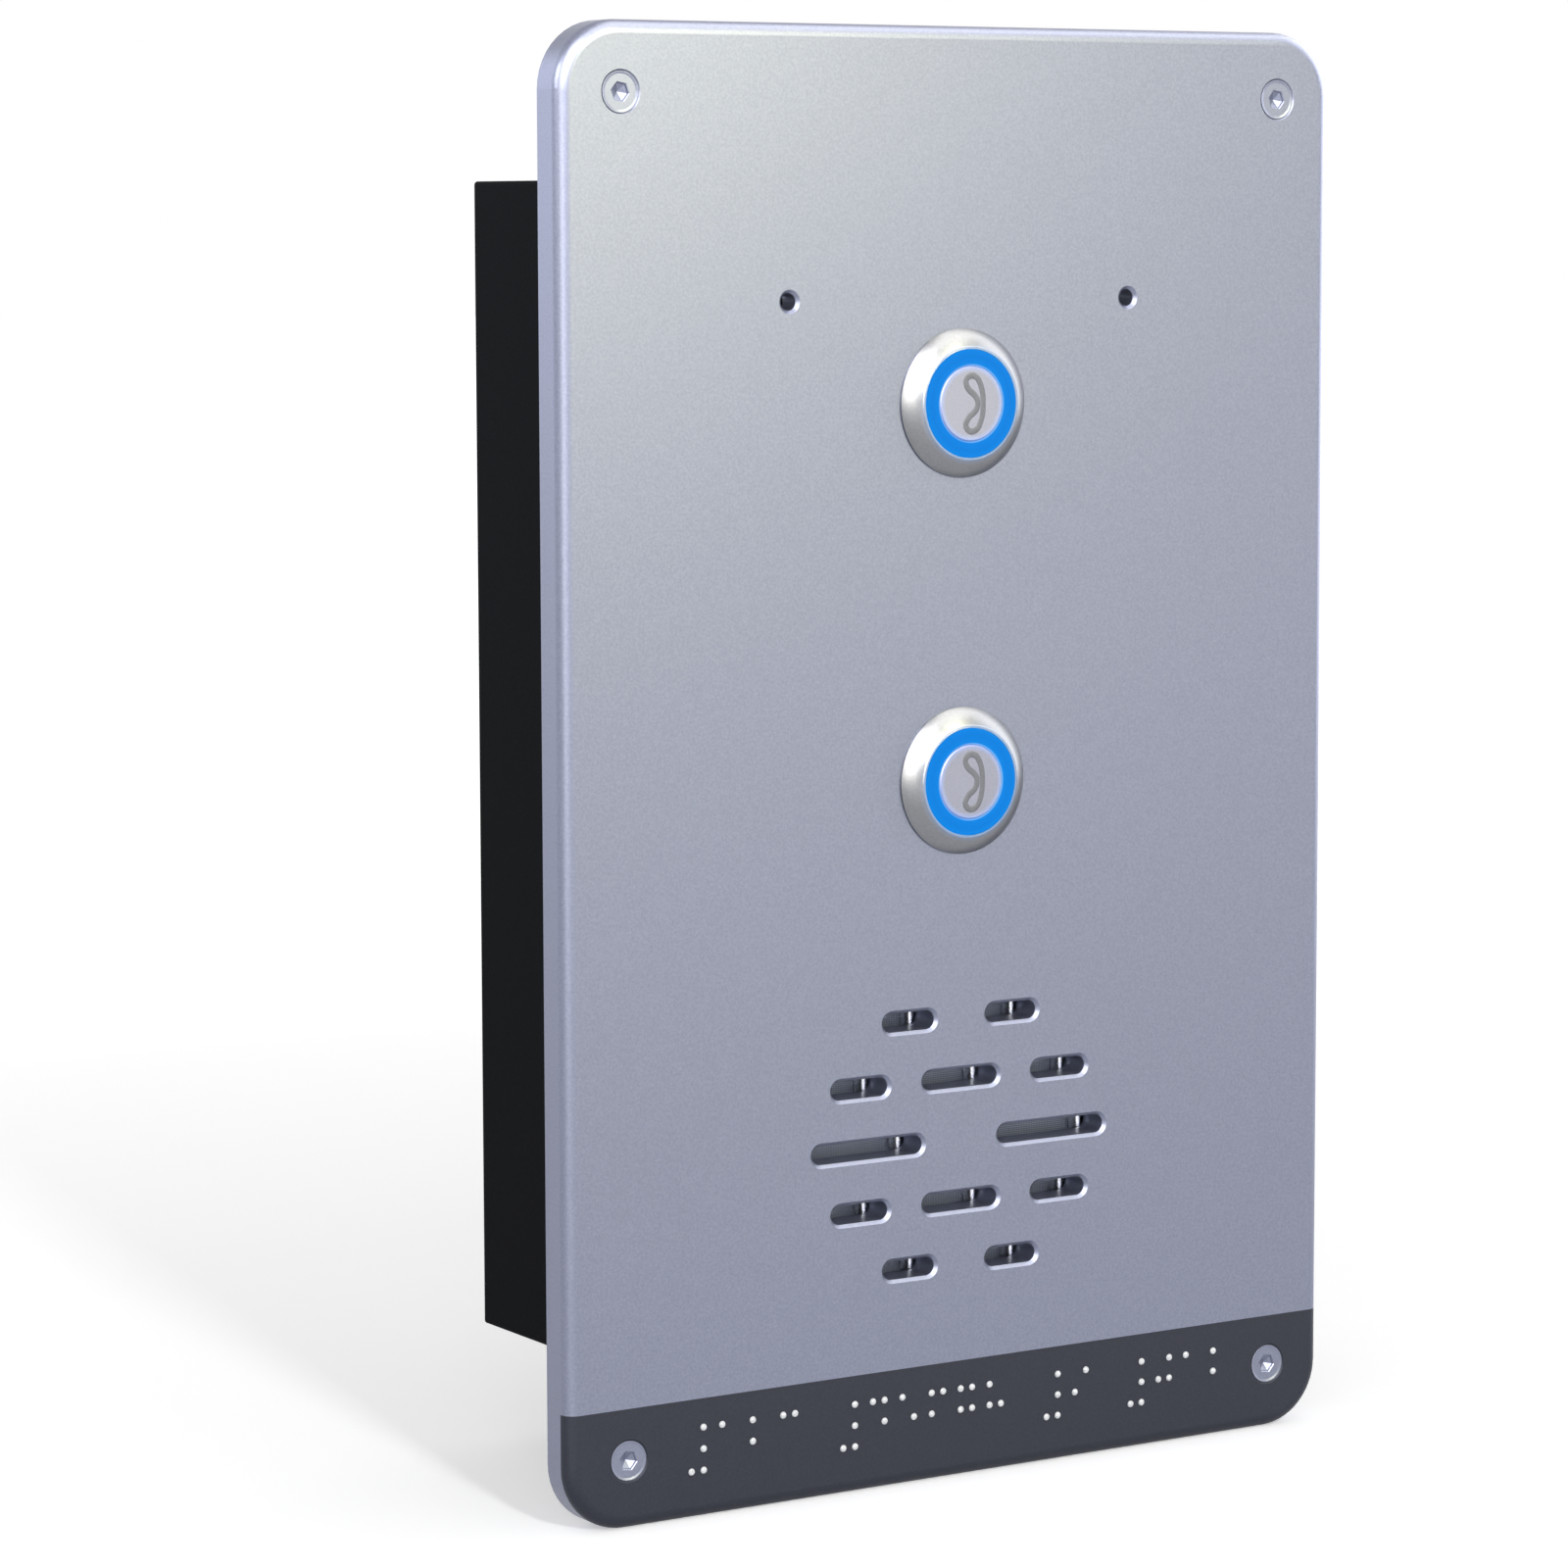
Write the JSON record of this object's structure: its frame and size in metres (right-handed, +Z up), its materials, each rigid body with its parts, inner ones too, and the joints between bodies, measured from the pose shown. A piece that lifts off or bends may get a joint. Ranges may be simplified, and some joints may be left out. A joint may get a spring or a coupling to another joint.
{
  "type": "flush wall intercom",
  "caption": "Upright flush-mounted wall intercom: satin metal faceplate with lit call buttons, speaker slots and a dark tactile strip, in front of a black sheet-metal housing.",
  "frame": {"origin": "centre of the faceplate's rear face, the plane that lies on the wall", "axes": "+X to the right seen from the front, +Y into the wall, +Z up"},
  "size_m": [0.1384, 0.0641, 0.22],
  "materials": {
    "satin_metal": "satin, fine-grained, clear anodised",
    "dark_metal": "satin, dark anodised",
    "steel": "bright zinc",
    "bright_metal": "fine turned",
    "cap_metal": "satin",
    "lit_ring": "clear, lit blue from behind",
    "black_paint": "fine powder coat",
    "rubber": "moulded",
    "foam": "closed-cell foam",
    "cloth": "fine woven",
    "black_plastic": "moulded",
    "green_plastic": "moulded",
    "orange_plastic": "moulded",
    "board": "lacquered laminate",
    "white_board": "lacquered laminate",
    "brass": "turned",
    "plated_sheet": "pressed, zinc plated",
    "ferrite": "sintered, dark",
    "cone_paper": "pressed paper, dark",
    "tape": "wound tape",
    "can": "drawn, bright"
  },
  "bodies": {
    "intercom": {"board_screws": "steel", "board_standoffs": "brass", "capacitors": "can", "cover_screws": "steel", "faceplate": "satin_metal", "fixing_screws": "steel", "housing": "black_paint", "housing_gasket": "foam", "housing_screws": "steel", "jack_contacts": "brass", "left_microphone": "can", "left_microphone_boot": "rubber", "lower_barrel_nut": "bright_metal", "lower_bezel": "bright_metal", "lower_bezel_seal": "rubber", "lower_led_board": "white_board", "lower_lock_washer": "steel", "lower_return_spring": "steel", "lower_switch_body": "black_plastic", "lower_switch_terminals": "brass", "main_board": "board", "network_jack": "black_plastic", "processor": "black_plastic", "rear_cover": "black_paint", "right_microphone": "can", "right_microphone_boot": "rubber", "speaker_cone": "cone_paper", "speaker_frame": "plated_sheet", "speaker_gasket": "foam", "speaker_magnet": "ferrite", "speaker_mesh": "cloth", "speaker_screws": "steel", "speaker_spacers": "brass", "speaker_yoke": "plated_sheet", "tactile_strip": "dark_metal", "terminal_block": "green_plastic", "terminal_levers": "orange_plastic", "transformer_core": "ferrite", "transformer_winding": "tape", "upper_barrel_nut": "bright_metal", "upper_bezel": "bright_metal", "upper_bezel_seal": "rubber", "upper_led_board": "white_board", "upper_lock_washer": "steel", "upper_return_spring": "steel", "upper_switch_body": "black_plastic", "upper_switch_terminals": "brass"},
    "upper_button": {"upper_button_cap": "cap_metal", "upper_light_ring": "lit_ring"},
    "lower_button": {"lower_button_cap": "cap_metal", "lower_light_ring": "lit_ring"}
  },
  "joints": [
    {"name": "upper_button_press", "type": "slide", "parent": "intercom", "child": "upper_button", "axis": [0, 1, 0], "range_m": [0, 0.002], "stiffness_N_per_m": 1000, "springref_m": -0.002, "deforming": ["upper_return_spring"]},
    {"name": "lower_button_press", "type": "slide", "parent": "intercom", "child": "lower_button", "axis": [0, 1, 0], "range_m": [0, 0.002], "stiffness_N_per_m": 1000, "springref_m": -0.002, "deforming": ["lower_return_spring"]}
  ]
}
